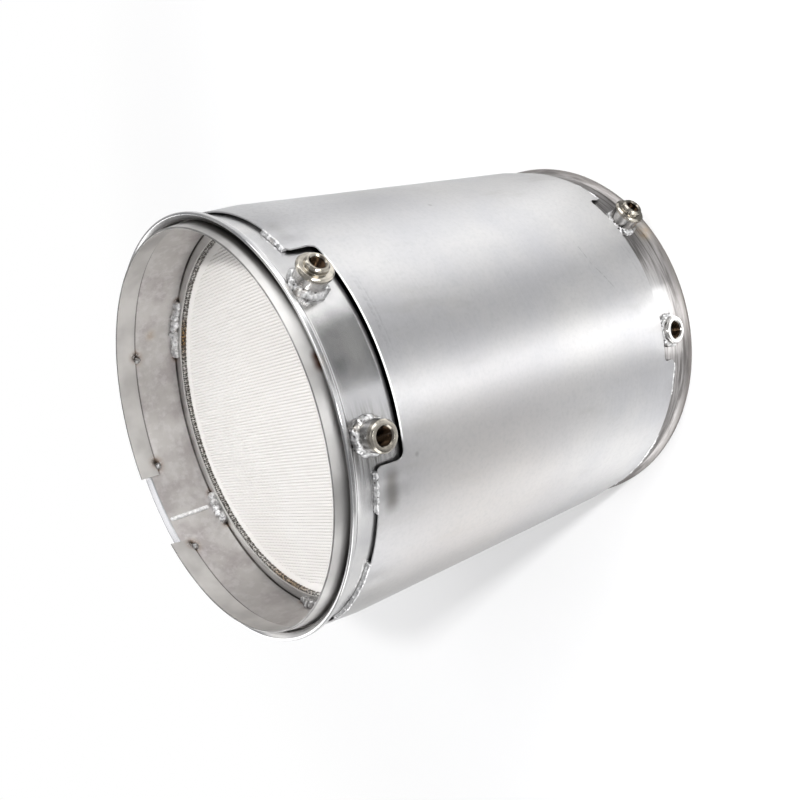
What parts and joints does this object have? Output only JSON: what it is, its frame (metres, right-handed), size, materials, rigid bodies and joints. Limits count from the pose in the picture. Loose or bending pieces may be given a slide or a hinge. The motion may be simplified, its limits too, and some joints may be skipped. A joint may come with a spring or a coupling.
{
  "type": "diesel particulate filter",
  "caption": "Cylindrical stainless-steel exhaust filter can with a honeycomb brick, V-band flanges, a notched heat shield and welded sensor bosses.",
  "frame": {"origin": "on the axis, in the plane of the outlet flange face, which the part stands on", "axes": "+Z along the axis from the outlet to the inlet; the temperature bosses face about -Y"},
  "size_m": [0.3276, 0.3405, 0.3867],
  "materials": {
    "brick": "matt fired ceramic",
    "mat": "fibre mat",
    "can": "mill finish",
    "mesh": "knitted wire, heat tinted",
    "ring": "mill finish",
    "band": "polished",
    "strip": "satin",
    "blanket": "fibre blanket",
    "shield": "brushed satin",
    "boss": "turned, straw tinted",
    "weld": "as welded"
  },
  "bodies": {
    "root": {"filter_brick": "brick", "support_mat": "mat", "inner_can": "can", "inlet_mesh_seal": "mesh", "outlet_mesh_seal": "mesh", "inlet_retaining_ring": "ring", "outlet_retaining_ring": "ring", "inlet_flange_band": "band", "outlet_flange_band": "band", "inlet_pilot_strip": "strip", "insulation_blanket": "blanket", "heat_shield": "shield", "inlet_temperature_boss": "boss", "inlet_pressure_boss": "boss", "outlet_temperature_boss": "boss", "outlet_pressure_boss": "boss", "inlet_temperature_boss_weld": "weld", "inlet_pressure_boss_weld": "weld", "outlet_temperature_boss_weld": "weld", "outlet_pressure_boss_weld": "weld", "inlet_shield_welds": "weld", "outlet_shield_welds": "weld", "inlet_ring_welds": "weld", "outlet_ring_welds": "weld", "pilot_strip_welds": "weld", "inlet_band_seam": "weld", "outlet_band_seam": "weld"}
  },
  "joints": []
}
